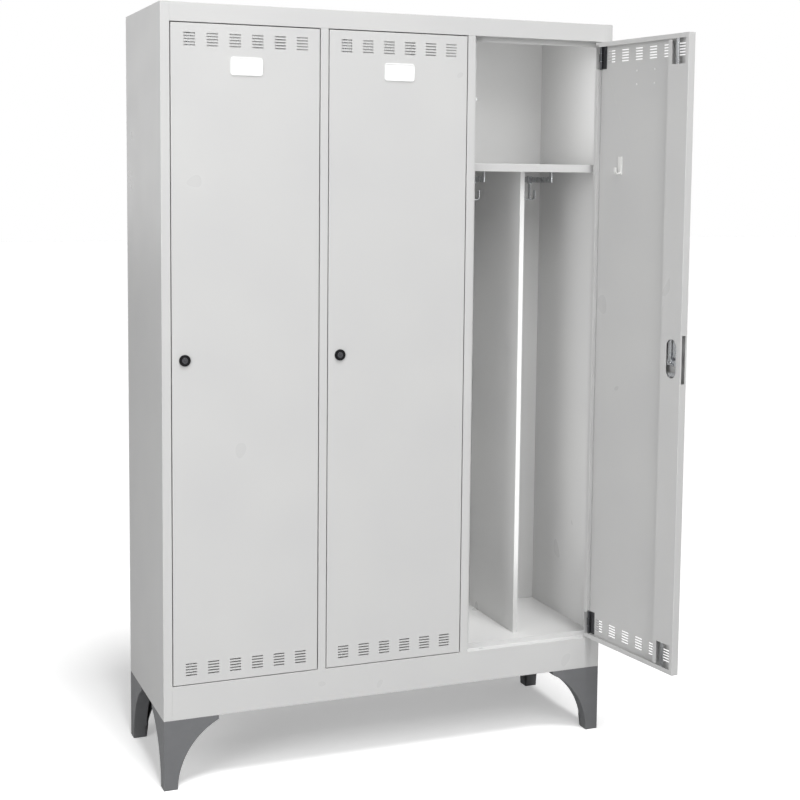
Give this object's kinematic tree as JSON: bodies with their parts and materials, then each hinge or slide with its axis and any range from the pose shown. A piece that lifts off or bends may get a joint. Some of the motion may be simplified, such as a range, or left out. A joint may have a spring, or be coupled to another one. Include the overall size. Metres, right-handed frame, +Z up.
{
  "type": "school locker",
  "caption": "Sheet steel wardrobe locker with tall side-by-side pan doors, one standing open, hat shelves, dividers and coat rails, on curved corner legs.",
  "frame": {"origin": "on the floor, in the middle of the cabinet's footprint (1200 by 400 mm, open door left out)", "axes": "+Z up; the doors face -Y; +X to the right as seen from the front; each door is hinged on its +X edge"},
  "size_m": [1.2272, 0.7556, 1.9],
  "materials": {
    "grey_powder_coat": "semi-gloss",
    "dark_grey_plastic": "satin",
    "zinc_plated_steel": "satin",
    "dark_steel": "satin",
    "lock_black": "gloss",
    "lock_core": "polished",
    "white_plastic": "satin",
    "card_white": "gloss"
  },
  "bodies": {
    "cabinet": {"side_panel_left": "grey_powder_coat", "side_panel_right": "grey_powder_coat", "back_panel": "grey_powder_coat", "top_panel": "grey_powder_coat", "kick_rail": "grey_powder_coat", "floor_panel": "grey_powder_coat", "partition_left": "grey_powder_coat", "partition_centre": "grey_powder_coat", "centre_post_left": "grey_powder_coat", "centre_post_centre": "grey_powder_coat", "hat_shelf_left": "grey_powder_coat", "hat_shelf_centre": "grey_powder_coat", "hat_shelf_right": "grey_powder_coat", "divider_left": "grey_powder_coat", "divider_centre": "grey_powder_coat", "divider_right": "grey_powder_coat", "coat_rails": "zinc_plated_steel", "frame_hinge_leaves": "dark_steel", "hinge_pins": "zinc_plated_steel", "leg_front_left": "dark_grey_plastic", "leg_front_right": "dark_grey_plastic", "leg_back_left": "dark_grey_plastic", "leg_back_right": "dark_grey_plastic", "leg_bolts": "zinc_plated_steel"},
    "door_left": {"door_skin_left": "grey_powder_coat", "door_channel_left": "grey_powder_coat", "door_hinge_leaves_left": "dark_steel", "lock_body_left": "lock_black", "door_fittings_left": "white_plastic", "card_holder_left": "card_white"},
    "lock_left": {"lock_plug_left": "lock_core", "lock_cam_left": "zinc_plated_steel"},
    "top_rod_left": {"top_rod_left": "zinc_plated_steel"},
    "bottom_rod_left": {"bottom_rod_left": "zinc_plated_steel"},
    "door_centre": {"door_skin_centre": "grey_powder_coat", "door_channel_centre": "grey_powder_coat", "door_hinge_leaves_centre": "dark_steel", "lock_body_centre": "lock_black", "door_fittings_centre": "white_plastic", "card_holder_centre": "card_white"},
    "lock_centre": {"lock_plug_centre": "lock_core", "lock_cam_centre": "zinc_plated_steel"},
    "top_rod_centre": {"top_rod_centre": "zinc_plated_steel"},
    "bottom_rod_centre": {"bottom_rod_centre": "zinc_plated_steel"},
    "door_right": {"door_skin_right": "grey_powder_coat", "door_channel_right": "grey_powder_coat", "door_hinge_leaves_right": "dark_steel", "lock_body_right": "lock_black", "door_fittings_right": "white_plastic", "card_holder_right": "card_white"},
    "lock_right": {"lock_plug_right": "lock_core", "lock_cam_right": "zinc_plated_steel"},
    "top_rod_right": {"top_rod_right": "zinc_plated_steel"},
    "bottom_rod_right": {"bottom_rod_right": "zinc_plated_steel"},
    "coat_hook_1": {"coat_hook_1": "zinc_plated_steel"},
    "coat_hook_2": {"coat_hook_2": "zinc_plated_steel"},
    "coat_hook_3": {"coat_hook_3": "zinc_plated_steel"},
    "coat_hook_4": {"coat_hook_4": "zinc_plated_steel"},
    "coat_hook_5": {"coat_hook_5": "zinc_plated_steel"},
    "coat_hook_6": {"coat_hook_6": "zinc_plated_steel"}
  },
  "joints": [
    {"name": "door_left_hinge", "type": "hinge", "parent": "cabinet", "child": "door_left", "pos_m": [-0.2135, -0.195, 1.057], "axis": [0, 0, 1], "range_deg": [0, 110]},
    {"name": "lock_left_turn", "type": "hinge", "parent": "door_left", "child": "lock_left", "pos_m": [-0.5445, -0.2, 1.057], "axis": [0, -1, 0], "range_deg": [0, 90]},
    {"name": "top_rod_left_slide", "type": "slide", "parent": "door_left", "child": "top_rod_left", "axis": [0, 0, 1], "range_m": [0, 0.0198]},
    {"name": "bottom_rod_left_slide", "type": "slide", "parent": "door_left", "child": "bottom_rod_left", "axis": [0, 0, -1], "range_m": [0, 0.0198]},
    {"name": "door_centre_hinge", "type": "hinge", "parent": "cabinet", "child": "door_centre", "pos_m": [0.1785, -0.195, 1.057], "axis": [0, 0, 1], "range_deg": [0, 110]},
    {"name": "lock_centre_turn", "type": "hinge", "parent": "door_centre", "child": "lock_centre", "pos_m": [-0.1525, -0.2, 1.057], "axis": [0, -1, 0], "range_deg": [0, 90]},
    {"name": "top_rod_centre_slide", "type": "slide", "parent": "door_centre", "child": "top_rod_centre", "axis": [0, 0, 1], "range_m": [0, 0.0198]},
    {"name": "bottom_rod_centre_slide", "type": "slide", "parent": "door_centre", "child": "bottom_rod_centre", "axis": [0, 0, -1], "range_m": [0, 0.0198]},
    {"name": "door_right_hinge", "type": "hinge", "parent": "cabinet", "child": "door_right", "pos_m": [0.5705, -0.195, 1.057], "axis": [0, 0, 1], "range_deg": [-98, 12]},
    {"name": "lock_right_turn", "type": "hinge", "parent": "door_right", "child": "lock_right", "pos_m": [0.62152, -0.52208, 1.057], "axis": [0.9903, 0.1392, 0], "range_deg": [0, 90]},
    {"name": "top_rod_right_slide", "type": "slide", "parent": "door_right", "child": "top_rod_right", "axis": [0, 0, 1], "range_m": [0, 0.0198]},
    {"name": "bottom_rod_right_slide", "type": "slide", "parent": "door_right", "child": "bottom_rod_right", "axis": [0, 0, -1], "range_m": [0, 0.0198]},
    {"name": "coat_hook_1_slide", "type": "slide", "parent": "cabinet", "child": "coat_hook_1", "axis": [0, 1, 0], "range_m": [-0.045, 0.15]},
    {"name": "coat_hook_2_slide", "type": "slide", "parent": "cabinet", "child": "coat_hook_2", "axis": [0, 1, 0], "range_m": [-0.11, 0.085]},
    {"name": "coat_hook_3_slide", "type": "slide", "parent": "cabinet", "child": "coat_hook_3", "axis": [0, 1, 0], "range_m": [-0.045, 0.15]},
    {"name": "coat_hook_4_slide", "type": "slide", "parent": "cabinet", "child": "coat_hook_4", "axis": [0, 1, 0], "range_m": [-0.11, 0.085]},
    {"name": "coat_hook_5_slide", "type": "slide", "parent": "cabinet", "child": "coat_hook_5", "axis": [0, 1, 0], "range_m": [-0.045, 0.15]},
    {"name": "coat_hook_6_slide", "type": "slide", "parent": "cabinet", "child": "coat_hook_6", "axis": [0, 1, 0], "range_m": [-0.11, 0.085]}
  ],
  "couplings": [
    {"joint": "lock_left_turn", "follows": "top_rod_left_slide", "rad_per_m": 79.33},
    {"joint": "bottom_rod_left_slide", "follows": "top_rod_left_slide", "ratio": 1},
    {"joint": "lock_centre_turn", "follows": "top_rod_centre_slide", "rad_per_m": 79.33},
    {"joint": "bottom_rod_centre_slide", "follows": "top_rod_centre_slide", "ratio": 1},
    {"joint": "lock_right_turn", "follows": "top_rod_right_slide", "rad_per_m": 79.33},
    {"joint": "bottom_rod_right_slide", "follows": "top_rod_right_slide", "ratio": 1}
  ]
}
